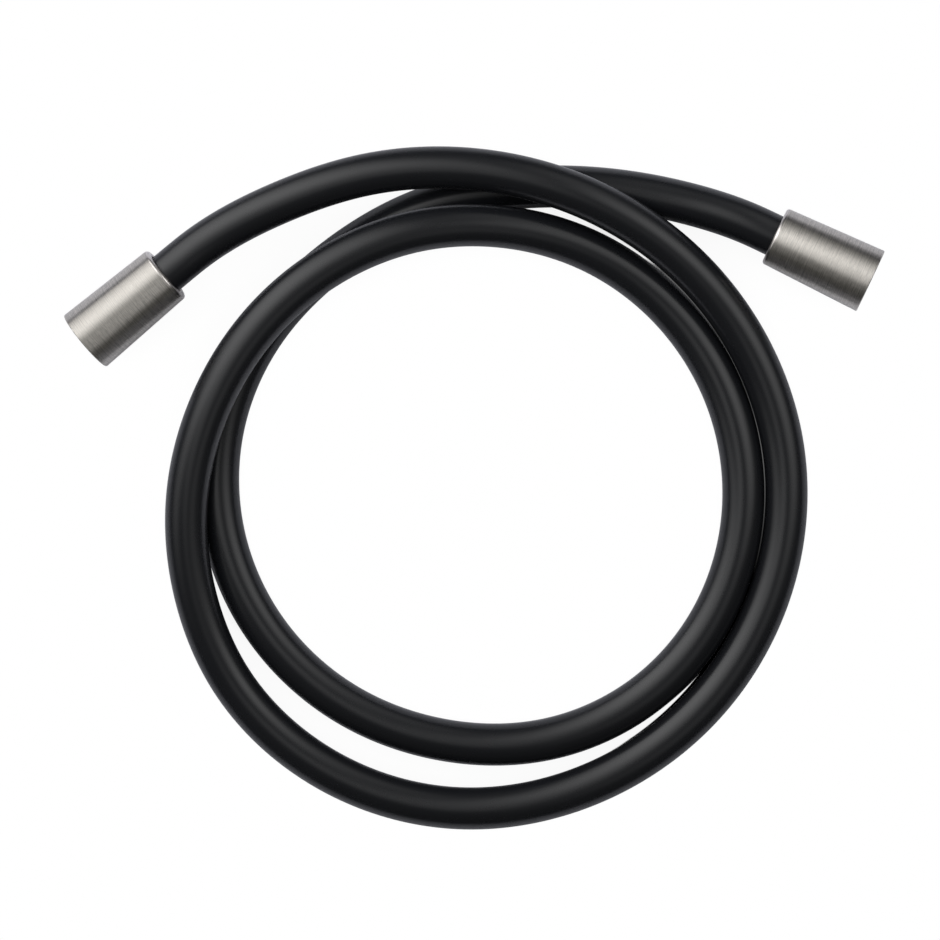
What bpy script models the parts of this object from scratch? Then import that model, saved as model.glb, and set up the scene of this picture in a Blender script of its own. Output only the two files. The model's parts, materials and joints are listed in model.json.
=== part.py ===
"""Smooth shower hose, laid in loose loops, with a swivelling cone nut at each end.

Z is up, the floor is z = 0, and the origin is at the middle of the footprint.
The hose runs from the handset end round two turns and a bit, and out to the outlet end.
Each end is turned about its own axis. Its frame has +Z out of the nut's mouth and z = 0
at the mouth, so a depth into the nut is a negative z.
"""

import math

import bpy
import numpy as np
from mathutils import Vector

# Hose
HOSE_RADIUS = 0.0077
HOSE_WALL = 0.0032
HOSE_SIDES = 12
HOSE_POINTS = 80

# Cone nut, with the G1/2 inside thread of a shower fitting
THREAD_RADIUS = 0.020955 / 2
THREAD_DEPTH = 0.001162
THREAD_LENGTH = 0.0109
THREAD_RUNOUT = 0.00007
LEAD_IN = 0.0011
NUT_LENGTH = 0.0387
NUT_MOUTH_WALL = 0.00155
NUT_REAR_WALL = 0.0022
LIP_LENGTH = 0.0020
LIP_GAP = 0.00055
MOUTH_ROUNDING = 0.0005
REAR_ROUNDING = 0.0012
LIP_ROUNDING = 0.0004

# Seal washer and slip ring
WASHER_THICKNESS = 0.0025
WASHER_BORE_RADIUS = 0.0055
WASHER_FIT = 0.000065
RING_THICKNESS = 0.0012

# Hose tail, the barbed core that the hose is pushed on
TAIL_BORE_RADIUS = 0.0029
TAIL_NECK_RADIUS = 0.0070
TAIL_GROOVE_RADIUS = 0.0056
TAIL_GROOVE_LENGTH = 0.0014
TAIL_COLLAR_RADIUS = 0.0068
TAIL_COLLAR_LENGTH = 0.0010
FLANGE_THICKNESS = 0.0020
FLANGE_OVERLAP = 0.00105
FLANGE_GAP = 0.00064
SHANK_OVERRUN = 0.0004
BARB_COUNT = 5
BARB_GROOVE = 0.0004
BARB_STEP = 0.0006
BARB_DEPTH = 0.0005
BARB_FIT = 0.0004

# Crimp ferrule round the hose's end
FERRULE_WALL = 0.00055
FERRULE_LIP = 0.0008
FERRULE_END_GAP = 0.0025
CRIMP_COUNT = 3
CRIMP_PITCH = 0.0040
CRIMP_WIDTH = 0.0020
CRIMP_DEPTH = 0.00022

# Gap between pieces that touch or nearly touch
CLEARANCE = 0.0003
STRAND_GAP = 0.00035
FLOOR_GAP = 0.00005

# Sides of the turned pieces
NUT_SIDES = 40
INNER_SIDES = 24
ROUNDING_STEPS = 3

# Where the loops' middle and the two mouths lie on the floor. A mouth is given from the
# loops' middle, with the heading of its axis and how far that axis points up.
LOOP_CENTRE = (0.00200, -0.00039)
HANDSET_MOUTH = (-0.1437, 0.0542)
HANDSET_HEADING = 219.5
HANDSET_SLOPE = -5.5
OUTLET_MOUTH = (0.1422, 0.0760)
OUTLET_HEADING = -25.45

# Straight hose behind each nut, before the loops begin
STRAIGHT_RUN = 0.006

# Route of the hose from the handset end to the outlet end, chosen by hand. Each point is
# its bearing in degrees and its distance from the loops' middle, and its lift, where 0
# lies on the floor and 1 lies on top of another strand.
ROUTE = [
    (140, 0.1354, 0.565),
    (125, 0.1272, 0.76),
    (110, 0.1217, 0.905),
    (90, 0.1161, 1.01),
    (71, 0.1128, 0.98),
    (50, 0.1113, 0.585),
    (29, 0.1110, 0.22),
    (6, 0.1116, 0.035),
    (-20, 0.1122, 0.0),
    (-45, 0.1132, 0.0),
    (-70, 0.1146, 0.0),
    (-95, 0.1163, 0.0),
    (-120, 0.1162, 0.01),
    (-142, 0.1142, 0.12),
    (-160, 0.1103, 0.42),
    (-178, 0.1065, 0.74),
    (-198, 0.1025, 0.95),
    (-218, 0.0997, 1.015),
    (-238, 0.0978, 1.0),
    (-256, 0.0968, 0.92),
    (-274, 0.0960, 0.665),
    (-294, 0.0958, 0.295),
    (-316, 0.0956, 0.05),
    (-340, 0.0957, 0.0),
    (-365, 0.0961, 0.0),
    (-390, 0.0964, 0.0),
    (-412, 0.0958, 0.0),
    (-435, 0.0941, 0.0),
    (-458, 0.0921, 0.0),
    (-482, 0.0920, 0.0),
    (-506, 0.0931, 0.0),
    (-530, 0.0947, 0.0),
    (-554, 0.0963, 0.0),
    (-576, 0.0975, 0.0),
    (-598, 0.0994, 0.0),
    (-613, 0.1029, 0.0),
    (-627, 0.1073, 0.0),
    (-641, 0.1126, 0.0),
    (-654, 0.1198, 0.005),
    (-667, 0.1299, 0.05),
]

# Radii that follow from the sizes above
thread_minor_radius = THREAD_RADIUS - THREAD_DEPTH
hose_bore_radius = HOSE_RADIUS - HOSE_WALL
ferrule_bore_radius = HOSE_RADIUS + CLEARANCE
ferrule_radius = ferrule_bore_radius + FERRULE_WALL
chamber_radius = ferrule_radius + CLEARANCE
lip_radius = HOSE_RADIUS + LIP_GAP
relief_radius = max(THREAD_RADIUS + THREAD_RUNOUT,
                    chamber_radius + FLANGE_OVERLAP + FLANGE_GAP)
flange_radius = relief_radius - FLANGE_GAP
nut_mouth_radius = relief_radius + NUT_MOUTH_WALL
nut_rear_radius = chamber_radius + NUT_REAR_WALL
washer_radius = thread_minor_radius - WASHER_FIT
ring_bore_radius = TAIL_NECK_RADIUS + CLEARANCE
barb_radius = hose_bore_radius - BARB_FIT

# Depths into the nut, measured from its mouth
washer_front = THREAD_LENGTH + CLEARANCE
washer_back = washer_front + WASHER_THICKNESS
flange_front = washer_back + CLEARANCE
flange_back = flange_front + FLANGE_THICKNESS
ring_front = flange_back + CLEARANCE
ring_back = ring_front + RING_THICKNESS
shoulder = ring_back + CLEARANCE
ferrule_front = shoulder
ferrule_back = NUT_LENGTH - LIP_LENGTH - FERRULE_END_GAP
groove_end = ring_back + TAIL_GROOVE_LENGTH
collar_end = groove_end + TAIL_COLLAR_LENGTH
shank_end = ferrule_back + SHANK_OVERRUN
barb_pitch = (shank_end - collar_end) / BARB_COUNT
hose_start = collar_end + CLEARANCE
straight_end = NUT_LENGTH + STRAIGHT_RUN


def clear_scene():
    for item in list(bpy.data.objects):
        bpy.data.objects.remove(item, do_unlink=True)


def new_material(name, colour, roughness, metallic):
    material = bpy.data.materials.new(name)
    material.use_nodes = True
    material.diffuse_color = (*colour, 1.0)
    shader = material.node_tree.nodes["Principled BSDF"]
    shader.inputs["Base Color"].default_value = (*colour, 1.0)
    shader.inputs["Roughness"].default_value = roughness
    shader.inputs["Metallic"].default_value = metallic
    return material


def rounding(radius, depth, size, start, end):
    """Points of a rounded corner about (radius, -depth), between two angles in degrees."""
    points = []
    for step in range(ROUNDING_STEPS + 1):
        angle = math.radians(start + (end - start) * step / ROUNDING_STEPS)
        points.append((radius + size * math.cos(angle), -depth + size * math.sin(angle)))
    return points


def nut_outline():
    """Section of the cone nut: down its outside, then up through its bore."""
    mouth_corner = rounding(nut_mouth_radius - MOUTH_ROUNDING, MOUTH_ROUNDING,
                            MOUTH_ROUNDING, 90, 0)
    rear_corner = rounding(nut_rear_radius - REAR_ROUNDING, NUT_LENGTH - REAR_ROUNDING,
                           REAR_ROUNDING, 0, -90)
    lip_corner = rounding(lip_radius + LIP_ROUNDING, NUT_LENGTH - LIP_ROUNDING,
                          LIP_ROUNDING, -90, -180)
    bore = [
        (lip_radius, -(NUT_LENGTH - LIP_LENGTH)),
        (chamber_radius, -(NUT_LENGTH - LIP_LENGTH)),
        (chamber_radius, -shoulder),
        (relief_radius, -shoulder),
        (relief_radius, -THREAD_LENGTH - THREAD_DEPTH / 2),
        (thread_minor_radius, -THREAD_LENGTH),
        (thread_minor_radius, -LEAD_IN),
        (thread_minor_radius + LEAD_IN, 0.0),
    ]
    return mouth_corner + rear_corner + lip_corner + bore


def washer_outline():
    return [
        (washer_radius, -washer_front),
        (washer_radius, -washer_back),
        (WASHER_BORE_RADIUS, -washer_back),
        (WASHER_BORE_RADIUS, -washer_front),
    ]


def ring_outline():
    return [
        (flange_radius, -ring_front),
        (flange_radius, -ring_back),
        (ring_bore_radius, -ring_back),
        (ring_bore_radius, -ring_front),
    ]


def tail_outline():
    """Section of the hose tail: flange, ring seat, ferrule groove, collar and barbs."""
    points = [
        (flange_radius, -flange_front),
        (flange_radius, -flange_back),
        (TAIL_NECK_RADIUS, -flange_back),
        (TAIL_NECK_RADIUS, -ring_back),
        (TAIL_GROOVE_RADIUS, -ring_back),
        (TAIL_GROOVE_RADIUS, -groove_end),
        (TAIL_COLLAR_RADIUS, -groove_end),
        (TAIL_COLLAR_RADIUS, -collar_end),
    ]
    for barb in range(BARB_COUNT):
        top = collar_end + barb * barb_pitch
        points.append((barb_radius - BARB_DEPTH, -top))
        points.append((barb_radius - BARB_DEPTH, -(top + BARB_GROOVE)))
        points.append((barb_radius, -(top + BARB_GROOVE + BARB_STEP)))
    points.append((barb_radius - BARB_DEPTH, -shank_end))
    points.append((TAIL_BORE_RADIUS, -shank_end))
    points.append((TAIL_BORE_RADIUS, -flange_front))
    return points


def ferrule_outline():
    """Section of the ferrule: a thin cup with its lip in the tail's groove."""
    points = [(ferrule_radius, -ferrule_front)]
    for crimp in range(CRIMP_COUNT):
        middle = ferrule_back - (CRIMP_COUNT - crimp) * CRIMP_PITCH + CRIMP_WIDTH
        points.append((ferrule_radius, -(middle - CRIMP_WIDTH / 2)))
        points.append((ferrule_radius - CRIMP_DEPTH, -middle))
        points.append((ferrule_radius, -(middle + CRIMP_WIDTH / 2)))
    lip_bore_radius = TAIL_GROOVE_RADIUS + CLEARANCE
    points.append((ferrule_radius, -ferrule_back))
    points.append((ferrule_bore_radius, -ferrule_back))
    points.append((ferrule_bore_radius, -(ferrule_front + FERRULE_LIP)))
    points.append((lip_bore_radius, -(ferrule_front + FERRULE_LIP)))
    points.append((lip_bore_radius, -ferrule_front))
    return points


def turned(name, outline, sides, material, frame, collection):
    """A closed section turned about the end's axis and made a mesh."""
    mesh = bpy.data.meshes.new(name)
    corners = [(radius, 0.0, height) for radius, height in outline]
    count = len(corners)
    edges = [(index, (index + 1) % count) for index in range(count)]
    mesh.from_pydata(corners, edges, [])
    piece = bpy.data.objects.new(name, mesh)
    collection.objects.link(piece)

    screw = piece.modifiers.new("turn", "SCREW")
    screw.axis = "Z"
    screw.steps = sides
    screw.render_steps = sides
    screw.use_merge_vertices = True
    screw.merge_threshold = 0.00001

    evaluated = piece.evaluated_get(bpy.context.evaluated_depsgraph_get())
    solid = bpy.data.meshes.new_from_object(evaluated)
    solid.name = name
    solid.shade_smooth()
    solid.set_sharp_from_angle(angle=math.radians(35))
    solid.materials.append(material)
    piece.modifiers.clear()
    piece.data = solid
    piece.parent = frame
    return piece


def flat_side_slope():
    """How far a nut's axis points up when it lies on its tapered side."""
    run = NUT_LENGTH - MOUTH_ROUNDING - REAR_ROUNDING
    return math.degrees(math.atan2(nut_mouth_radius - nut_rear_radius, run))


def mouth_height(slope):
    """Height of the mouth's middle at which the sloping nut just touches the floor."""
    tilt = math.radians(slope)
    return max(radius * math.cos(tilt) - height * math.sin(tilt)
               for radius, height in nut_outline())


def axis_direction(heading, slope):
    turn = math.radians(heading)
    rise = math.radians(slope)
    return Vector((math.cos(turn) * math.cos(rise), math.sin(turn) * math.cos(rise),
                   math.sin(rise)))


def new_end(name, mouth, heading, slope, collection):
    """An empty at the mouth of a nut, with +Z out of the mouth."""
    frame = bpy.data.objects.new(name, None)
    collection.objects.link(frame)
    frame.empty_display_size = NUT_LENGTH / 2
    frame.location = (LOOP_CENTRE[0] + mouth[0], LOOP_CENTRE[1] + mouth[1],
                      mouth_height(slope))
    frame.rotation_euler = (0.0, math.radians(90 - slope), math.radians(heading))
    return frame


def build_end(prefix, frame, materials, collection):
    """The nut, washer and slip ring that swivel, and the tail and ferrule that don't."""
    turned(prefix + "_cone_nut", nut_outline(), NUT_SIDES, materials["nickel"], frame,
           collection)
    turned(prefix + "_seal_washer", washer_outline(), INNER_SIDES, materials["rubber"],
           frame, collection)
    turned(prefix + "_slip_ring", ring_outline(), INNER_SIDES, materials["acetal"], frame,
           collection)
    turned(prefix + "_hose_tail", tail_outline(), INNER_SIDES, materials["brass"], frame,
           collection)
    turned(prefix + "_crimp_ferrule", ferrule_outline(), INNER_SIDES, materials["steel"],
           frame, collection)


def route_points():
    points = []
    for bearing, distance, lift in ROUTE:
        angle = math.radians(bearing)
        height = HOSE_RADIUS + FLOOR_GAP + lift * (2 * HOSE_RADIUS + STRAND_GAP)
        points.append((LOOP_CENTRE[0] + distance * math.cos(angle),
                       LOOP_CENTRE[1] + distance * math.sin(angle), height))
    return points


def smooth_curve(knots, first_direction, last_direction, samples):
    """Points along the smoothest curve through the knots that leaves in one direction
    and arrives in the other: a cubic spline, measured by the distance between knots."""
    knots = np.array(knots)
    steps = np.linalg.norm(np.diff(knots, axis=0), axis=1)
    count = len(knots)
    system = np.zeros((count, count))
    target = np.zeros((count, 3))
    system[0, 0] = 1.0
    target[0] = first_direction
    system[-1, -1] = 1.0
    target[-1] = last_direction
    for i in range(1, count - 1):
        before = steps[i - 1]
        after = steps[i]
        system[i, i - 1] = 1 / before
        system[i, i] = 2 / before + 2 / after
        system[i, i + 1] = 1 / after
        target[i] = 3 * ((knots[i] - knots[i - 1]) / before ** 2
                         + (knots[i + 1] - knots[i]) / after ** 2)
    slopes = np.linalg.solve(system, target)

    points = []
    for i in range(count - 1):
        for t in np.linspace(0.0, 1.0, samples, endpoint=False):
            points.append((2 * t ** 3 - 3 * t ** 2 + 1) * knots[i]
                          + (t ** 3 - 2 * t ** 2 + t) * steps[i] * slopes[i]
                          + (3 * t ** 2 - 2 * t ** 3) * knots[i + 1]
                          + (t ** 3 - t ** 2) * steps[i] * slopes[i + 1])
    points.append(knots[-1])
    return np.array(points)


def evenly_spaced(points, count):
    """The same line with its points at equal distances along it."""
    steps = np.linalg.norm(np.diff(points, axis=0), axis=1)
    travelled = np.concatenate(([0.0], np.cumsum(steps)))
    places = np.linspace(0.0, travelled[-1], count)
    return np.stack([np.interp(places, travelled, points[:, axis]) for axis in range(3)],
                    axis=1)


def hose_line(handset, handset_axis, outlet, outlet_axis):
    """Centreline of the hose, from its end in one nut to its end in the other."""
    first = handset - handset_axis * hose_start
    leaves = handset - handset_axis * straight_end
    arrives = outlet - outlet_axis * straight_end
    last = outlet - outlet_axis * hose_start
    loops = smooth_curve([leaves] + route_points() + [arrives], -handset_axis, outlet_axis, 12)
    return np.vstack([[first], loops, [last]])


def build_hose(line, material, collection):
    """An open tube along the line, given its wall on the inside."""
    curve = bpy.data.curves.new("hose", "CURVE")
    curve.dimensions = "3D"
    curve.twist_mode = "Z_UP"
    curve.bevel_depth = HOSE_RADIUS
    curve.bevel_resolution = (HOSE_SIDES - 4) // 2
    curve.use_fill_caps = False
    curve.materials.append(material)
    places = evenly_spaced(line, HOSE_POINTS)
    spline = curve.splines.new("POLY")
    spline.points.add(len(places) - 1)
    for point, place in zip(spline.points, places):
        point.co = (*place, 1.0)
    hose = bpy.data.objects.new("hose", curve)
    collection.objects.link(hose)
    wall = hose.modifiers.new("wall", "SOLIDIFY")
    wall.thickness = HOSE_WALL
    wall.offset = -1.0
    return hose


def build():
    clear_scene()
    collection = bpy.data.collections.new("shower_hose")
    bpy.context.scene.collection.children.link(collection)
    materials = {
        "hose": new_material("black_hose", (0.022, 0.022, 0.024), 0.38, 0.0),
        "nickel": new_material("brushed_nickel", (0.62, 0.59, 0.55), 0.30, 1.0),
        "brass": new_material("brass", (0.72, 0.52, 0.22), 0.30, 1.0),
        "steel": new_material("ferrule_steel", (0.60, 0.60, 0.60), 0.35, 1.0),
        "acetal": new_material("white_acetal", (0.80, 0.80, 0.78), 0.45, 0.0),
        "rubber": new_material("black_rubber", (0.03, 0.03, 0.03), 0.80, 0.0),
    }
    outlet_slope = flat_side_slope()
    handset = new_end("handset_end", HANDSET_MOUTH, HANDSET_HEADING, HANDSET_SLOPE,
                      collection)
    outlet = new_end("outlet_end", OUTLET_MOUTH, OUTLET_HEADING, outlet_slope, collection)
    build_end("handset", handset, materials, collection)
    build_end("outlet", outlet, materials, collection)
    line = hose_line(handset.location, axis_direction(HANDSET_HEADING, HANDSET_SLOPE),
                     outlet.location, axis_direction(OUTLET_HEADING, outlet_slope))
    build_hose(line, materials["hose"], collection)


build()
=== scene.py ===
"""Looks of the smooth shower hose: satin black hose, brushed-nickel cone nuts, white floor.

Lengths are in metres. Z is up and the floor is z = 0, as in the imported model. Each end
has its own frame, with +Z out of the nut's mouth and z = 0 at the mouth, so a depth into
the nut is a negative z there.
"""

import json
import math

import bmesh
import bpy
import numpy as np
from mathutils import Matrix, Vector


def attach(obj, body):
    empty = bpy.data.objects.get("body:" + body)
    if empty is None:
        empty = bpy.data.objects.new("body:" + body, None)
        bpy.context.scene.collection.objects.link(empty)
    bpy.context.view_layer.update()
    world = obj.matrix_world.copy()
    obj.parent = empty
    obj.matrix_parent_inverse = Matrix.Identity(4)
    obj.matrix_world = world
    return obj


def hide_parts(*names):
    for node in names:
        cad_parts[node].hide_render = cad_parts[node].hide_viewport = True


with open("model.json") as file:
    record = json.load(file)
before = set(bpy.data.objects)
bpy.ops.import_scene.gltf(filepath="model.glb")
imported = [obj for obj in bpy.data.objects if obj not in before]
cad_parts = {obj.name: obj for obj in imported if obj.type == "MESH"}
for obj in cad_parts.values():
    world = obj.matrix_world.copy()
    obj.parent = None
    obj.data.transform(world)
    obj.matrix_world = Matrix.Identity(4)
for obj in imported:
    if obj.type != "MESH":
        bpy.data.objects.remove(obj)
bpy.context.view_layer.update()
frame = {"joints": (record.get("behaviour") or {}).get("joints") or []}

# Sizes of the real hose, as the frame has them
HOSE_RADIUS = 0.0077
HOSE_WALL = 0.0032
STRAND_GAP = 0.00035
FLOOR_GAP = 0.00005
THREAD_RADIUS = 0.020955 / 2
THREAD_PITCH = 0.0254 / 14
THREAD_DEPTH = 0.001162
THREAD_LENGTH = 0.0109
THREAD_RUNOUT = 0.00007
THREAD_LEAD_IN = 0.0012
THREAD_FLANK_ANGLE = 27.5
THREAD_ROUNDNESS = 4
THREAD_END_SLOPE = 2
NUT_LENGTH = 0.0387
NUT_MOUTH_RADIUS = 0.0120975
NUT_REAR_RADIUS = 0.01105
MOUTH_ROUNDING = 0.0005
REAR_ROUNDING = 0.0012
LIP_RADIUS = 0.00825
LIP_LENGTH = 0.0020
LIP_ROUNDING = 0.0004
CHAMBER_RADIUS = 0.00885
SHOULDER = 0.0178
HOSE_START = 0.0202
STRAIGHT_RUN = 0.006

# Pieces inside the nut: radii, and depths from the nut's mouth
WASHER_RADIUS = 0.0092505
WASHER_BORE_RADIUS = 0.0055
WASHER_FRONT = 0.0112
WASHER_BACK = 0.0137
FLANGE_RADIUS = 0.0099075
FLANGE_FRONT = 0.0140
FLANGE_BACK = 0.0160
NECK_RADIUS = 0.0070
RING_BORE_RADIUS = 0.0073
RING_FRONT = 0.0163
RING_BACK = 0.0175
GROOVE_RADIUS = 0.0056
GROOVE_END = 0.0189
COLLAR_RADIUS = 0.0068
COLLAR_END = 0.0199
TAIL_BORE_RADIUS = 0.0029
BARB_RADIUS = 0.0041
BARB_DEPTH = 0.0005
BARB_GROOVE = 0.0004
BARB_STEP = 0.0006
BARB_PITCH = 0.00294
BARB_COUNT = 5
SHANK_END = 0.0346
FERRULE_BORE_RADIUS = 0.0080
FERRULE_RADIUS = 0.00855
FERRULE_LIP_RADIUS = 0.0059
FERRULE_LIP = 0.0008
FERRULE_BACK = 0.0342
CRIMP_COUNT = 3
CRIMP_PITCH = 0.0040
CRIMP_WIDTH = 0.0020
CRIMP_DEPTH = 0.00022
SMALL_CHAMFER = 0.0002

# Route of the hose, as the part's source has it: bearing in degrees and distance from the
# loops' middle, and lift, where 0 lies on the floor and 1 on top of another strand
LOOP_CENTRE = (0.00200, -0.00039)
ROUTE = [
    (140, 0.1354, 0.565),
    (125, 0.1272, 0.76),
    (110, 0.1217, 0.905),
    (90, 0.1161, 1.01),
    (71, 0.1128, 0.98),
    (50, 0.1113, 0.585),
    (29, 0.1110, 0.22),
    (6, 0.1116, 0.035),
    (-20, 0.1122, 0.0),
    (-45, 0.1132, 0.0),
    (-70, 0.1146, 0.0),
    (-95, 0.1163, 0.0),
    (-120, 0.1162, 0.01),
    (-142, 0.1142, 0.12),
    (-160, 0.1103, 0.42),
    (-178, 0.1065, 0.74),
    (-198, 0.1025, 0.95),
    (-218, 0.0997, 1.015),
    (-238, 0.0978, 1.0),
    (-256, 0.0968, 0.92),
    (-274, 0.0960, 0.665),
    (-294, 0.0958, 0.295),
    (-316, 0.0956, 0.05),
    (-340, 0.0957, 0.0),
    (-365, 0.0961, 0.0),
    (-390, 0.0964, 0.0),
    (-412, 0.0958, 0.0),
    (-435, 0.0941, 0.0),
    (-458, 0.0921, 0.0),
    (-482, 0.0920, 0.0),
    (-506, 0.0931, 0.0),
    (-530, 0.0947, 0.0),
    (-554, 0.0963, 0.0),
    (-576, 0.0975, 0.0),
    (-598, 0.0994, 0.0),
    (-613, 0.1029, 0.0),
    (-627, 0.1073, 0.0),
    (-641, 0.1126, 0.0),
    (-654, 0.1198, 0.005),
    (-667, 0.1299, 0.05),
]

# How finely the hose and the turned pieces are meshed
ROUTE_SAMPLES = 24
HOSE_RINGS = 640
HOSE_SIDES = 48
NUT_COLUMNS = 144
INNER_COLUMNS = 96
GROUND_COLUMNS = 96
THREAD_ROWS = 12
CORNER_STEPS = 6
WELD_DISTANCE = 0.000002

# Angles in degrees from which an edge counts as a crease
HOSE_CREASE = 40
NUT_CREASE = 32
INNER_CREASE = 30
GROUND_CREASE = 60

# Colours of the materials
HOSE_BLACK = (0.0090, 0.0096, 0.0115)
NICKEL = (0.590, 0.564, 0.525)
EDGE_NICKEL = (0.60, 0.57, 0.545)
BRASS = (0.72, 0.52, 0.22)
STEEL = (0.60, 0.60, 0.60)
RUBBER = (0.022, 0.022, 0.022)
ACETAL = (0.78, 0.78, 0.75)

# The hose's surface: patches of slightly different gloss, and the grain of the mould
HOSE_IOR = 1.42
HOSE_ROUGHNESS = (0.26, 0.29)
PATCH_SCALE = 60.0
HOSE_GRAIN_SCALE = 4200.0
HOSE_GRAIN_STRENGTH = 0.06
HOSE_GRAIN_DEPTH = 0.00004

# Part of a noise's range in which its values mostly lie
NOISE_RANGE = (0.3, 0.7)

# Brushing: scales across and along the axis of fine and of broad streaks, the share of the
# broad ones, the streak values of the darkest and the lightest shade, and those shades
FINE_STREAKS = (520.0, 520.0, 5200.0)
BROAD_STREAKS = (70.0, 70.0, 4300.0)
BROAD_SHARE = 0.55
STREAK_RANGE = (0.38, 0.62)
STREAK_SHADES = (0.71, 1.21)
STREAK_STRENGTH = 0.25
STREAK_DEPTH = 0.00002

# Seal and slip ring: how strongly their grain shows, and how far it changes the gloss
PLASTIC_GRAIN_STRENGTH = 0.4
PLASTIC_GLOSS_CHANGE = 0.05

# Camera, straight above the loops
CAMERA_PLACE = (-0.00164, 0.00689, 3.0)
CAMERA_LENS = 314.4
CAMERA_SENSOR = 36.0

# Softboxes: how far away they stand, and how far from its middle each gets dark, as a share
# of its width and height
LIGHT_DISTANCE = 1.3
SOFTBOX_DARK_RADIUS = 0.6

# Each softbox: heading seen from above, angle from the vertical, width, height, brightness
SOFTBOXES = [
    ("left_softbox", 136, 51, 1.6, 3.0, 3.4),
    ("right_softbox", 22, 45, 1.3, 1.5, 2.27),
    ("overhead", 215, 10, 0.9, 0.9, 0.82),
    ("left_bounce", 180, 58, 1.2, 1.2, 1.1),
    ("back_bounce", 60, 58, 1.2, 1.2, 0.72),
    ("front_bounce", 320, 34, 1.0, 1.0, 0.52),
]
ROOM_COLOUR = (0.067, 0.0665, 0.062)

# Ground: its radius, and the rim that closes the view far away
GROUND_RADIUS = 5.6
RIM_ROUNDING = 0.4
RIM_HEIGHT = 1.0

# The ground as shiny surfaces see it: its colour, its share of light of its own, the
# distances between which both fade, and what is left of the colour further out, a painted
# shade that only shiny surfaces see
GROUND_COLOUR = (0.80, 0.81, 0.89)
GROUND_ROUGHNESS = 0.9
GROUND_IN_GLOSS = 0.04
GROUND_BRIGHT_RADIUS = 0.205
GROUND_DARK_RADIUS = 0.24
GROUND_FAR_SHADE = 0.22

# The ground as the camera sees it, by openness, from 0 where the hose shuts a place in to 1
# in the open. Each pair is where a painted shade is full and where it ends: the faint one
# close to the hose, the painted dark of a crevice, and the painted dark of the gap at the
# right.
OPENNESS_DISTANCE = 0.08
OPENNESS_SAMPLES = 16
CONTACT_SHADE = 0.08
CONTACT_OPENNESS = (0.1, 0.55)
CREVICE_OPENNESS = (-0.05, 0.05)
GAP_OPENNESS = (0.20, 0.40)

# The gap at the right, between two strands that lie side by side, where the ground gets a
# painted shade, set by its place. Its middle is an arc about the loops' middle, and places
# along it are measured in its direction. It is closed from GAP_CLOSED on, and short of that
# it opens by GAP_TAPER times the way. Next to the opening runs a band of painted shade,
# which fades over its width, and towards its lower and its upper end.
GAP_RADIUS = 0.1046
GAP_DIRECTION = (0.997, 0.078, 0.0)
GAP_CLOSED = 0.0716
GAP_TAPER = 0.056
GAP_OPEN_WAY = 0.04
GAP_CLOSED_WAY = 0.01
GAP_SOFTNESS = 0.0003
GAP_DARK_BAND = (0.0015, 0.0025)
GAP_LOWER_END = (0.038, 0.048)
GAP_UPPER_END = (0.078, 0.085)

# Painted glint in the closed gap, a dim light on the ground that stands for shine on the
# strand's edge: none below one height in the picture, and full above the other
GAP_PAINTED_GLINT = 0.12
GAP_GLINT_RANGE = (-0.03, 0.01)


# The hose's line

def axis_of(joint):
    return Vector(joint["axis"]).normalized()


def route_points():
    points = []
    for bearing, distance, lift in ROUTE:
        angle = math.radians(bearing)
        height = HOSE_RADIUS + FLOOR_GAP + lift * (2 * HOSE_RADIUS + STRAND_GAP)
        points.append((LOOP_CENTRE[0] + distance * math.cos(angle),
                       LOOP_CENTRE[1] + distance * math.sin(angle), height))
    return points


def smooth_curve(knots, first_direction, last_direction, samples):
    """Points along the smoothest curve through the knots that leaves in one direction
    and arrives in the other: a cubic spline, measured by the distance between knots."""
    knots = np.array(knots)
    steps = np.linalg.norm(np.diff(knots, axis=0), axis=1)
    count = len(knots)
    system = np.zeros((count, count))
    target = np.zeros((count, 3))
    system[0, 0] = 1.0
    target[0] = first_direction
    system[-1, -1] = 1.0
    target[-1] = last_direction
    for i in range(1, count - 1):
        before = steps[i - 1]
        after = steps[i]
        system[i, i - 1] = 1 / before
        system[i, i] = 2 / before + 2 / after
        system[i, i + 1] = 1 / after
        target[i] = 3 * ((knots[i] - knots[i - 1]) / before ** 2
                         + (knots[i + 1] - knots[i]) / after ** 2)
    slopes = np.linalg.solve(system, target)

    points = []
    for i in range(count - 1):
        for t in np.linspace(0.0, 1.0, samples, endpoint=False):
            points.append((2 * t ** 3 - 3 * t ** 2 + 1) * knots[i]
                          + (t ** 3 - 2 * t ** 2 + t) * steps[i] * slopes[i]
                          + (3 * t ** 2 - 2 * t ** 3) * knots[i + 1]
                          + (t ** 3 - t ** 2) * steps[i] * slopes[i + 1])
    points.append(knots[-1])
    return np.array(points)


def evenly_spaced(points, count):
    """The same line with its points at equal distances along it."""
    steps = np.linalg.norm(np.diff(points, axis=0), axis=1)
    travelled = np.concatenate(([0.0], np.cumsum(steps)))
    places = np.linspace(0.0, travelled[-1], count)
    return np.stack([np.interp(places, travelled, points[:, axis]) for axis in range(3)],
                    axis=1)


def hose_line(handset, outlet):
    """Centreline of the hose, from its end in one nut to its end in the other."""
    straight_end = NUT_LENGTH + STRAIGHT_RUN
    handset_mouth = Vector(handset["pos_m"])
    outlet_mouth = Vector(outlet["pos_m"])
    first = handset_mouth - axis_of(handset) * HOSE_START
    leaves = handset_mouth - axis_of(handset) * straight_end
    arrives = outlet_mouth - axis_of(outlet) * straight_end
    last = outlet_mouth - axis_of(outlet) * HOSE_START
    loops = smooth_curve([leaves] + route_points() + [arrives], -axis_of(handset),
                         axis_of(outlet), ROUTE_SAMPLES)
    return evenly_spaced(np.vstack([[first], loops, [last]]), HOSE_RINGS)


# Meshes

def new_piece(name, mesh, material):
    piece = bpy.data.objects.new(name, mesh)
    bpy.context.scene.collection.objects.link(piece)
    mesh.materials.append(material)
    return piece


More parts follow.
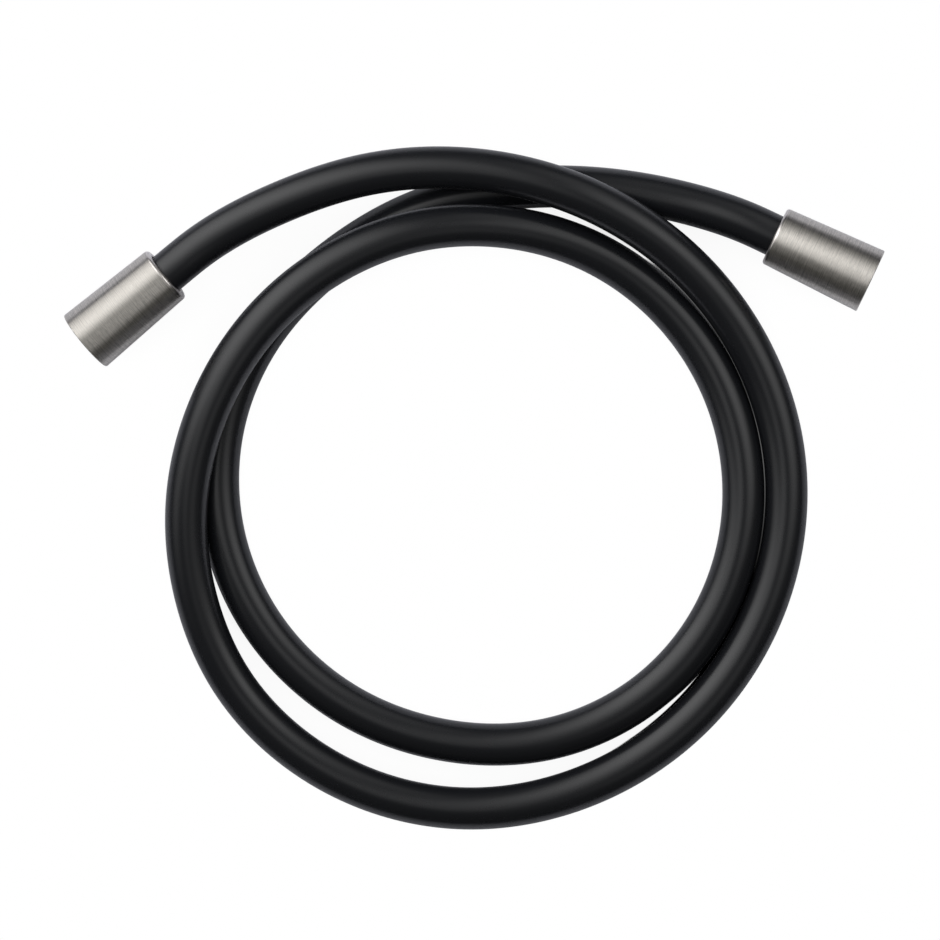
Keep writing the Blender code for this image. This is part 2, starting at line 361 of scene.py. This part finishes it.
def tube_mesh(name, line, outer, inner, sides):
    """A hose with a real wall and flat ends. Its seam stays straight below the line."""
    tangents = np.gradient(line, axis=0)
    tangents /= np.linalg.norm(tangents, axis=1)[:, None]
    across = np.cross(tangents, (0.0, 0.0, 1.0))
    across /= np.linalg.norm(across, axis=1)[:, None]
    up = np.cross(across, tangents)
    angles = np.radians(-90) + np.arange(sides) * 2 * np.pi / sides
    shape = (np.cos(angles)[None, :, None] * across[:, None, :]
             + np.sin(angles)[None, :, None] * up[:, None, :])
    outside = line[:, None, :] + outer * shape
    inside = line[:, None, :] + inner * shape
    rings = len(line)
    corners = np.concatenate([outside.reshape(-1, 3), inside.reshape(-1, 3)])
    inner_start = rings * sides

    def corner(layer, ring, side):
        return layer * inner_start + ring * sides + side % sides

    faces = []
    for ring in range(rings - 1):
        for side in range(sides):
            faces.append((corner(0, ring, side), corner(0, ring, side + 1),
                          corner(0, ring + 1, side + 1), corner(0, ring + 1, side)))
            faces.append((corner(1, ring, side), corner(1, ring + 1, side),
                          corner(1, ring + 1, side + 1), corner(1, ring, side + 1)))
    for side in range(sides):
        faces.append((corner(0, 0, side), corner(1, 0, side),
                      corner(1, 0, side + 1), corner(0, 0, side + 1)))
        last = rings - 1
        faces.append((corner(0, last, side), corner(0, last, side + 1),
                      corner(1, last, side + 1), corner(1, last, side)))
    mesh = bpy.data.meshes.new(name)
    mesh.from_pydata(corners.tolist(), [], faces)
    finish_mesh(mesh, HOSE_CREASE)
    return mesh


def finish_mesh(mesh, crease):
    """Faces outwards, smooth shading, and creases where the surface really turns."""
    work = bmesh.new()
    work.from_mesh(mesh)
    bmesh.ops.remove_doubles(work, verts=work.verts, dist=WELD_DISTANCE)
    bmesh.ops.dissolve_degenerate(work, edges=work.edges, dist=WELD_DISTANCE)
    bmesh.ops.recalc_face_normals(work, faces=work.faces)
    work.to_mesh(mesh)
    work.free()
    mesh.shade_smooth()
    mesh.set_sharp_from_angle(angle=math.radians(crease))


def rounding(radius, depth, size, start, end):
    """Points of a rounded corner about (radius, -depth), between two angles in degrees."""
    points = []
    for step in range(CORNER_STEPS + 1):
        angle = math.radians(start + (end - start) * step / CORNER_STEPS)
        points.append((radius + size * math.cos(angle), -depth + size * math.sin(angle)))
    return points


def turned_rings(outline, columns):
    """The outline's points turned about the axis, as an array of rings by columns."""
    radii = np.array([point[0] for point in outline])
    heights = np.array([point[1] for point in outline])
    angles = np.arange(columns + 1) * 2 * np.pi / columns
    return np.stack([radii[:, None] * np.cos(angles), radii[:, None] * np.sin(angles),
                     np.repeat(heights[:, None], columns + 1, axis=1)], axis=2)


def grid_mesh(name, rings, closed, crease):
    """A mesh over an array of rings by columns, whose last ring may join the first."""
    rows, columns = rings.shape[:2]
    faces = []
    for row in range(rows if closed else rows - 1):
        here = row * columns
        there = (row + 1) % rows * columns
        for column in range(columns - 1):
            faces.append((here + column, here + column + 1,
                          there + column + 1, there + column))
    mesh = bpy.data.meshes.new(name)
    mesh.from_pydata(rings.reshape(-1, 3).tolist(), [], faces)
    finish_mesh(mesh, crease)
    return mesh


def thread_rings(columns):
    """The inside thread, from its inner end out to the mouth.

    Its rows follow the helix, and are cut off at the two ends of the thread, where it
    runs out into a cone. The profile is the 55-degree one, with rounded crest and root.
    """
    half = THREAD_DEPTH / 2
    end_depth = THREAD_LENGTH + half
    relief_radius = THREAD_RADIUS + THREAD_RUNOUT
    mouth_radius = THREAD_RADIUS - THREAD_DEPTH + THREAD_LEAD_IN
    middle = THREAD_RADIUS - half
    sharp_height = THREAD_PITCH / 2 / math.tan(math.radians(THREAD_FLANK_ANGLE))
    row_step = THREAD_PITCH / THREAD_ROWS
    row_count = math.ceil(end_depth / row_step) + THREAD_ROWS + 1
    angles = np.arange(columns + 1) * 2 * np.pi / columns
    shift = THREAD_PITCH * np.arange(columns + 1) / columns
    rows = np.arange(row_count)
    heights = -end_depth - THREAD_PITCH + rows[:, None] * row_step + shift[None, :]
    heights = np.clip(heights, -end_depth, 0.0)
    turn = (heights - shift[None, :]) / THREAD_PITCH
    wave = 2 * np.abs(turn - np.floor(turn) - 0.5)
    offset = sharp_height * (wave - 0.5)
    offset /= (1 + np.abs(offset / half) ** THREAD_ROUNDNESS) ** (1 / THREAD_ROUNDNESS)
    mouth_cone = mouth_radius + heights
    inner_cone = relief_radius - THREAD_END_SLOPE * (heights + end_depth)
    radii = np.maximum(middle + offset, np.maximum(mouth_cone, inner_cone))
    radii = np.where(heights <= -end_depth, relief_radius, radii)
    radii = np.where(heights >= 0.0, mouth_radius, radii)
    return np.stack([radii * np.cos(angles), radii * np.sin(angles), heights], axis=2)


def nut_mesh(name):
    """The cone nut: a cone with rounded ends, its stepped bore and its inside thread."""
    mouth = rounding(NUT_MOUTH_RADIUS - MOUTH_ROUNDING, MOUTH_ROUNDING, MOUTH_ROUNDING, 90, 0)
    rear = rounding(NUT_REAR_RADIUS - REAR_ROUNDING, NUT_LENGTH - REAR_ROUNDING,
                    REAR_ROUNDING, 0, -90)
    lip = rounding(LIP_RADIUS + LIP_ROUNDING, NUT_LENGTH - LIP_ROUNDING, LIP_ROUNDING,
                   -90, -180)
    relief_radius = THREAD_RADIUS + THREAD_RUNOUT
    bore = [
        (LIP_RADIUS, -(NUT_LENGTH - LIP_LENGTH)),
        (CHAMBER_RADIUS, -(NUT_LENGTH - LIP_LENGTH)),
        (CHAMBER_RADIUS, -SHOULDER),
        (relief_radius, -SHOULDER),
    ]
    outside = turned_rings(mouth + rear + lip + bore, NUT_COLUMNS)
    rings = np.concatenate([outside, thread_rings(NUT_COLUMNS)])
    return grid_mesh(name, rings, True, NUT_CREASE)


def washer_outline():
    cut = SMALL_CHAMFER
    return [
        (WASHER_RADIUS - cut, -WASHER_FRONT),
        (WASHER_RADIUS, -WASHER_FRONT - cut),
        (WASHER_RADIUS, -WASHER_BACK + cut),
        (WASHER_RADIUS - cut, -WASHER_BACK),
        (WASHER_BORE_RADIUS + cut, -WASHER_BACK),
        (WASHER_BORE_RADIUS, -WASHER_BACK + cut),
        (WASHER_BORE_RADIUS, -WASHER_FRONT - cut),
        (WASHER_BORE_RADIUS + cut, -WASHER_FRONT),
    ]


def ring_outline():
    cut = SMALL_CHAMFER
    return [
        (FLANGE_RADIUS - cut, -RING_FRONT),
        (FLANGE_RADIUS, -RING_FRONT - cut),
        (FLANGE_RADIUS, -RING_BACK + cut),
        (FLANGE_RADIUS - cut, -RING_BACK),
        (RING_BORE_RADIUS, -RING_BACK),
        (RING_BORE_RADIUS, -RING_FRONT),
    ]


def tail_outline():
    """Section of the hose tail: flange, ring seat, ferrule groove, collar and barbs."""
    cut = SMALL_CHAMFER
    points = [
        (FLANGE_RADIUS - cut, -FLANGE_FRONT),
        (FLANGE_RADIUS, -FLANGE_FRONT - cut),
        (FLANGE_RADIUS, -FLANGE_BACK + cut),
        (FLANGE_RADIUS - cut, -FLANGE_BACK),
        (NECK_RADIUS, -FLANGE_BACK),
        (NECK_RADIUS, -RING_BACK),
        (GROOVE_RADIUS, -RING_BACK),
        (GROOVE_RADIUS, -GROOVE_END),
        (COLLAR_RADIUS, -GROOVE_END),
        (COLLAR_RADIUS, -COLLAR_END),
    ]
    for barb in range(BARB_COUNT):
        top = COLLAR_END + barb * BARB_PITCH
        points.append((BARB_RADIUS - BARB_DEPTH, -top))
        points.append((BARB_RADIUS - BARB_DEPTH, -top - BARB_GROOVE))
        points.append((BARB_RADIUS, -top - BARB_GROOVE - BARB_STEP))
    points.append((BARB_RADIUS - BARB_DEPTH, -SHANK_END))
    points.append((TAIL_BORE_RADIUS, -SHANK_END))
    points.append((TAIL_BORE_RADIUS, -FLANGE_FRONT - cut))
    points.append((TAIL_BORE_RADIUS + cut, -FLANGE_FRONT))
    return points


def ferrule_outline():
    """Section of the ferrule: a thin cup with round crimps, and its lip in the groove."""
    points = [(FERRULE_RADIUS, -SHOULDER)]
    for crimp in range(CRIMP_COUNT):
        middle = FERRULE_BACK - (CRIMP_COUNT - crimp) * CRIMP_PITCH + CRIMP_WIDTH
        for step in range(CORNER_STEPS + 1):
            across = step / CORNER_STEPS
            depth = CRIMP_DEPTH * math.sin(math.pi * across)
            points.append((FERRULE_RADIUS - depth, -middle + CRIMP_WIDTH * (0.5 - across)))
    return points + [
        (FERRULE_RADIUS, -FERRULE_BACK),
        (FERRULE_BORE_RADIUS, -FERRULE_BACK),
        (FERRULE_BORE_RADIUS, -SHOULDER - FERRULE_LIP),
        (FERRULE_LIP_RADIUS, -SHOULDER - FERRULE_LIP),
        (FERRULE_LIP_RADIUS, -SHOULDER),
    ]


def end_matrix(joint):
    """Frame of an end: its origin at the mouth and +Z out of it, with X level."""
    out = axis_of(joint)
    level = Vector((0.0, 0.0, 1.0)).cross(out).normalized()
    other = out.cross(level)
    turn = Matrix((level, other, out)).transposed().to_4x4()
    return Matrix.Translation(Vector(joint["pos_m"])) @ turn


# Materials

class Shader:
    """Adds nodes to a new material and joins them, in as few words as possible."""

    def __init__(self, name):
        self.material = bpy.data.materials.new(name)
        self.material.use_nodes = True
        self.tree = self.material.node_tree
        self.surface = self.tree.nodes["Principled BSDF"]

    def add(self, kind, **settings):
        node = self.tree.nodes.new("ShaderNode" + kind)
        for key, value in settings.items():
            setattr(node, key, value)
        return node

    def set(self, node, **values):
        """Sets inputs of a node by their names, written with _ for a space."""
        for key, value in values.items():
            node.inputs[key.replace("_", " ")].default_value = value

    def join(self, source, target):
        self.tree.links.new(source, target)

    def math(self, operation, first, second):
        """The sum, product or the like of a socket and a second socket or number."""
        node = self.add("Math", operation=operation)
        self.join(first, node.inputs[0])
        if isinstance(second, float):
            node.inputs[1].default_value = second
        else:
            self.join(second, node.inputs[1])
        return node.outputs[0]

    def noise(self, vector, scale, detail=2.0):
        node = self.add("TexNoise")
        self.set(node, Scale=scale, Detail=detail, Roughness=0.5)
        self.join(vector, node.inputs["Vector"])
        return node.outputs["Fac"]

    def span(self, value, low, high, new_low, new_high):
        """A value mapped from one range to another."""
        node = self.add("MapRange")
        for socket, number in zip(("From Min", "From Max", "To Min", "To Max"),
                                  (low, high, new_low, new_high)):
            node.inputs[socket].default_value = number
        self.join(value, node.inputs["Value"])
        return node.outputs["Result"]

    def bump(self, height, strength, distance):
        node = self.add("Bump")
        self.set(node, Strength=strength, Distance=distance)
        self.join(height, node.inputs["Height"])
        return node.outputs["Normal"]

    def stretched(self, scale):
        """Object coordinates with their own scale along each axis."""
        place = self.add("TexCoord")
        mapping = self.add("Mapping")
        mapping.inputs["Scale"].default_value = scale
        self.join(place.outputs["Object"], mapping.inputs["Vector"])
        return mapping.outputs["Vector"]


def hose_material():
    """Satin black plastic with a very fine moulded grain."""
    shader = Shader("satin_black_plastic")
    surface = shader.surface
    shader.set(surface, Base_Color=(*HOSE_BLACK, 1.0), IOR=HOSE_IOR)
    place = shader.stretched((1.0, 1.0, 1.0))
    patches = shader.noise(place, PATCH_SCALE, 3.0)
    gloss = shader.span(patches, *NOISE_RANGE, *HOSE_ROUGHNESS)
    shader.join(gloss, surface.inputs["Roughness"])
    grain = shader.noise(place, HOSE_GRAIN_SCALE)
    relief = shader.bump(grain, HOSE_GRAIN_STRENGTH, HOSE_GRAIN_DEPTH)
    shader.join(relief, surface.inputs["Normal"])
    return shader.material


def brushed_material(name, colour, roughness, spread, metallic=1.0):
    """Metal brushed round the piece's own Z, so its gloss is smeared along that axis.

    The roughness is a pair, for the smoothest and the roughest streaks.
    """
    shader = Shader(name)
    surface = shader.surface
    shader.set(surface, Metallic=metallic, Anisotropic=spread, Anisotropic_Rotation=0.25)
    tangent = shader.add("Tangent", direction_type="RADIAL", axis="Z")
    shader.join(tangent.outputs["Tangent"], surface.inputs["Tangent"])
    fine = shader.noise(shader.stretched(FINE_STREAKS), 1.0)
    broad = shader.noise(shader.stretched(BROAD_STREAKS), 1.0)
    lines = shader.add("Mix", data_type="FLOAT")
    lines.inputs["Factor"].default_value = BROAD_SHARE
    shader.join(fine, lines.inputs["A"])
    shader.join(broad, lines.inputs["B"])
    streaks = lines.outputs["Result"]
    gloss = shader.span(streaks, *NOISE_RANGE, *roughness)
    shader.join(gloss, surface.inputs["Roughness"])
    shade = shader.add("ValToRGB")
    for stop, place, factor in zip(shade.color_ramp.elements, STREAK_RANGE, STREAK_SHADES):
        stop.position = place
        stop.color = (*[min(1.0, factor * part) for part in colour], 1.0)
    shader.join(streaks, shade.inputs["Fac"])
    shader.join(shade.outputs["Color"], surface.inputs["Base Color"])
    relief = shader.bump(streaks, STREAK_STRENGTH, STREAK_DEPTH)
    shader.join(relief, surface.inputs["Normal"])
    return shader.material


def plastic_material(name, colour, roughness, grain_scale, grain_depth):
    """Dull plastic or rubber with a moulded or machined grain."""
    shader = Shader(name)
    surface = shader.surface
    shader.set(surface, Base_Color=(*colour, 1.0))
    grain = shader.noise(shader.stretched((1.0, 1.0, 1.0)), grain_scale, 3.0)
    relief = shader.bump(grain, PLASTIC_GRAIN_STRENGTH, grain_depth)
    shader.join(relief, surface.inputs["Normal"])
    gloss = shader.span(grain, *NOISE_RANGE, roughness - PLASTIC_GLOSS_CHANGE,
                        roughness + PLASTIC_GLOSS_CHANGE)
    shader.join(gloss, surface.inputs["Roughness"])
    return shader.material


def painted_gap_shade(shader, position):
    """Two values for a place on the ground: how far it belongs to the painted shade of the gap
    at the right, from 0 to 1, set by the place, and how far the painted glint lifts it."""
    centred = shader.add("VectorMath", operation="SUBTRACT")
    shader.join(position, centred.inputs[0])
    centred.inputs[1].default_value = (*LOOP_CENTRE, 0.0)
    reach = shader.add("VectorMath", operation="LENGTH")
    shader.join(centred.outputs["Vector"], reach.inputs[0])
    along = shader.add("VectorMath", operation="DOT_PRODUCT")
    shader.join(centred.outputs["Vector"], along.inputs[0])
    along.inputs[1].default_value = GAP_DIRECTION
    sides = shader.add("SeparateXYZ")
    shader.join(centred.outputs["Vector"], sides.inputs["Vector"])

    # Half the opening, and how far the place is from its edge
    off_middle = shader.math(
        "ABSOLUTE", shader.math("SUBTRACT", reach.outputs["Value"], GAP_RADIUS), 0.0)
    opening = shader.span(along.outputs["Value"],
                          GAP_CLOSED - GAP_OPEN_WAY, GAP_CLOSED + GAP_CLOSED_WAY,
                          GAP_OPEN_WAY * GAP_TAPER, -GAP_CLOSED_WAY * GAP_TAPER)
    outside = shader.math("SUBTRACT", off_middle, opening)

    # Painted shade: a dark band beside the gap's opening, set by the place on the ground
    closed = shader.span(outside, 0.0, GAP_SOFTNESS, 0.0, 1.0)
    for limit in (shader.span(outside, *GAP_DARK_BAND, 1.0, 0.0),
                  shader.span(along.outputs["Value"], *GAP_LOWER_END, 0.0, 1.0),
                  shader.span(sides.outputs["Y"], *GAP_UPPER_END, 1.0, 0.0)):
        closed = shader.math("MULTIPLY", closed, limit)
    # Painted glint: the gap's painted shade is lifted towards its upper part
    painted_glint = shader.span(sides.outputs["Y"], *GAP_GLINT_RANGE, 0.0, GAP_PAINTED_GLINT)
    return closed, painted_glint


def ground_glow(shader, position):
    """How bright the camera sees the ground: white, with a faint painted shade close to the
    hose, and painted dark in crevices and in the gap at the right."""
    room = shader.add("AmbientOcclusion", samples=OPENNESS_SAMPLES)
    shader.set(room, Distance=OPENNESS_DISTANCE)
    openness = room.outputs["AO"]
    closed, painted_glint = painted_gap_shade(shader, position)
    crevice = shader.add("MapRange")
    for socket, elsewhere, in_gap in zip(("From Min", "From Max"), CREVICE_OPENNESS,
                                         GAP_OPENNESS):
        shader.join(shader.span(closed, 0.0, 1.0, elsewhere, in_gap), crevice.inputs[socket])
    # The painted glint lifts the painted dark in the gap
    shader.join(shader.math("MULTIPLY", closed, painted_glint), crevice.inputs["To Min"])
    shader.join(openness, crevice.inputs["Value"])
    # Painted shade: the ground's glow is dimmed close to the hose and in crevices, by openness
    contact = shader.span(openness, *CONTACT_OPENNESS, 1.0 - CONTACT_SHADE, 1.0)
    return shader.math("MULTIPLY", crevice.outputs["Result"], contact)


def floor_material():
    """White ground, whose brightness the camera sees as it is set in ground_glow. Shiny
    surfaces see it as the lamps light it, cooler than white, and with a painted shade far
    away."""
    shader = Shader("white_ground")
    surface = shader.surface
    shader.set(surface, Roughness=GROUND_ROUGHNESS, Specular_IOR_Level=0.0)
    place = shader.add("NewGeometry")
    position = place.outputs["Position"]
    distance = shader.add("VectorMath", operation="LENGTH")
    shader.join(position, distance.inputs[0])
    path = shader.add("LightPath")
    in_gloss = path.outputs["Is Glossy Ray"]

    # Painted shade: for shiny surfaces alone the ground darkens far out
    far = shader.span(distance.outputs["Value"], GROUND_BRIGHT_RADIUS, GROUND_DARK_RADIUS,
                      0.0, 1.0 - GROUND_FAR_SHADE)
    colour_and_far_shade = shader.add("Mix", data_type="RGBA")
    colour_and_far_shade.inputs["A"].default_value = (*GROUND_COLOUR, 1.0)
    colour_and_far_shade.inputs["B"].default_value = (0.0, 0.0, 0.0, 1.0)
    shader.join(shader.math("MULTIPLY", in_gloss, far), colour_and_far_shade.inputs["Factor"])
    shader.join(colour_and_far_shade.outputs["Result"], surface.inputs["Base Color"])

    glow = shader.add("Emission")
    shader.join(ground_glow(shader, position), glow.inputs["Strength"])
    seen = shader.math("MAXIMUM", path.outputs["Is Camera Ray"],
                       path.outputs["Is Transmission Ray"])
    near = shader.span(distance.outputs["Value"], GROUND_BRIGHT_RADIUS, GROUND_DARK_RADIUS,
                       GROUND_IN_GLOSS, 0.0)
    glow_share = shader.math("MAXIMUM", seen, shader.math("MULTIPLY", in_gloss, near))
    blend = shader.add("MixShader")
    shader.join(glow_share, blend.inputs["Fac"])
    shader.join(surface.outputs["BSDF"], blend.inputs[1])
    shader.join(glow.outputs["Emission"], blend.inputs[2])
    output = shader.tree.nodes["Material Output"]
    shader.join(blend.outputs["Shader"], output.inputs["Surface"])
    return shader.material


# Camera, light and ground

def make_camera():
    lens = bpy.data.cameras.new("camera")
    lens.lens = CAMERA_LENS
    lens.sensor_width = CAMERA_SENSOR
    camera = bpy.data.objects.new("camera", lens)
    camera.location = CAMERA_PLACE
    bpy.context.scene.collection.objects.link(camera)
    bpy.context.scene.camera = camera


def soften_edges(lamp):
    """Makes a softbox brightest in its middle and dim towards its edges."""
    lamp.use_nodes = True
    tree = lamp.node_tree
    place = tree.nodes.new("ShaderNodeNewGeometry")
    centred = tree.nodes.new("ShaderNodeVectorMath")
    centred.operation = "SUBTRACT"
    centred.inputs[1].default_value = (0.5, 0.5, 0.0)
    distance = tree.nodes.new("ShaderNodeVectorMath")
    distance.operation = "LENGTH"
    falloff = tree.nodes.new("ShaderNodeMapRange")
    falloff.interpolation_type = "SMOOTHSTEP"
    falloff.inputs["From Min"].default_value = 0.0
    falloff.inputs["From Max"].default_value = SOFTBOX_DARK_RADIUS
    falloff.inputs["To Min"].default_value = 1.0
    falloff.inputs["To Max"].default_value = 0.0
    tree.links.new(place.outputs["Parametric"], centred.inputs[0])
    tree.links.new(centred.outputs["Vector"], distance.inputs[0])
    tree.links.new(distance.outputs["Value"], falloff.inputs["Value"])
    tree.links.new(falloff.outputs["Result"], tree.nodes["Emission"].inputs["Strength"])


def make_lights():
    for name, heading, tilt, width, height, brightness in SOFTBOXES:
        turn = math.radians(heading)
        lean = math.radians(tilt)
        away = Vector((math.cos(turn) * math.sin(lean), math.sin(turn) * math.sin(lean),
                       math.cos(lean)))
        lamp = bpy.data.lights.new(name, "AREA")
        lamp.shape = "RECTANGLE"
        lamp.size = width
        lamp.size_y = height
        lamp.energy = brightness * math.pi * width * height
        soften_edges(lamp)
        light = bpy.data.objects.new(name, lamp)
        light.location = away * LIGHT_DISTANCE
        light.rotation_mode = "QUATERNION"
        light.rotation_quaternion = away.to_track_quat("Z", "Y")
        light.visible_camera = False
        bpy.context.scene.collection.objects.link(light)
    world = bpy.data.worlds.new("room")
    world.use_nodes = True
    world.node_tree.nodes["Background"].inputs["Color"].default_value = (*ROOM_COLOUR, 1.0)
    bpy.context.scene.world = world


def make_ground():
    """A round floor with a low rim far away, which closes the view at the horizon."""
    outline = [(0.0, 0.0), (GROUND_RADIUS, 0.0)]
    for degrees in range(10, 91, 10):
        angle = math.radians(degrees)
        outline.append((GROUND_RADIUS + RIM_ROUNDING * math.sin(angle),
                        RIM_ROUNDING - RIM_ROUNDING * math.cos(angle)))
    outline.append((GROUND_RADIUS + RIM_ROUNDING, RIM_HEIGHT))
    rings = turned_rings(outline, GROUND_COLUMNS)
    mesh = grid_mesh("ground", rings, False, GROUND_CREASE)
    ground = new_piece("ground", mesh, floor_material())


def build_hose(line, material):
    mesh = tube_mesh("black_hose_tube", line, HOSE_RADIUS, HOSE_RADIUS - HOSE_WALL, HOSE_SIDES)
    hose = new_piece("black_hose_tube", mesh, material)
    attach(hose, "hose_line")
    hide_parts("hose")
    return hose


def place_turned(name, mesh, joint, body, node, material):
    """Sets a turned piece in its end of the hose, in the place of a CAD node."""
    piece = new_piece(name, mesh, material)
    piece.matrix_world = end_matrix(joint)
    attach(piece, body)
    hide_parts(node)
    return piece


def build_nut(prefix, joint, brushed, polished):
    """The nut, brushed all round, with a polished edge at its rear."""
    name = prefix + "_brushed_nut"
    nut = place_turned(name, nut_mesh(name), joint, prefix + "_nut", prefix + "_cone_nut",
                       brushed)
    nut.data.materials.append(polished)
    edge_start = -(NUT_LENGTH - REAR_ROUNDING)
    for face in nut.data.polygons:
        if face.center.z < edge_start:
            face.material_index = 1


def build_inner_pieces(prefix, joint, materials):
    """The washer and slip ring that swivel with the nut, and the tail and ferrule."""
    nut = prefix + "_nut"
    line = "hose_line"
    for name, outline, body, node, slot in (
            ("rubber_washer", washer_outline(), nut, "seal_washer", "black_rubber"),
            ("acetal_ring", ring_outline(), nut, "slip_ring", "white_acetal"),
            ("brass_tail", tail_outline(), line, "hose_tail", "brass"),
            ("steel_ferrule", ferrule_outline(), line, "crimp_ferrule", "ferrule_steel")):
        rings = turned_rings(outline, INNER_COLUMNS)
        mesh = grid_mesh(prefix + "_" + name, rings, True, INNER_CREASE)
        place_turned(prefix + "_" + name, mesh, joint, body, prefix + "_" + node,
                     materials[slot])


def main():
    joints = {joint["name"]: joint for joint in frame["joints"]}
    handset = joints["handset_nut_swivel"]
    outlet = joints["outlet_nut_swivel"]
    line = hose_line(handset, outlet)
    make_camera()
    hose = build_hose(line, hose_material())
    brushed = brushed_material("brushed_nickel_plate", NICKEL, roughness=(0.26, 0.58),
                               spread=1.0, metallic=0.95)
    polished = brushed_material("polished_nickel_edge", EDGE_NICKEL, roughness=(0.26, 0.34),
                                spread=0.6)
    materials = {
        "brass": brushed_material("turned_brass", BRASS, roughness=(0.24, 0.34), spread=0.6),
        "ferrule_steel": brushed_material("pressed_steel", STEEL, roughness=(0.30, 0.40),
                                          spread=0.5),
        "black_rubber": plastic_material("seal_rubber", RUBBER, roughness=0.7,
                                         grain_scale=2500.0, grain_depth=0.00002),
        "white_acetal": plastic_material("machined_acetal", ACETAL, roughness=0.4,
                                         grain_scale=1500.0, grain_depth=0.00001),
    }
    for prefix, joint in (("handset", handset), ("outlet", outlet)):
        build_nut(prefix, joint, brushed, polished)
        build_inner_pieces(prefix, joint, materials)
    make_lights()
    make_ground()
    bpy.context.scene.view_settings.view_transform = "Standard"


main()
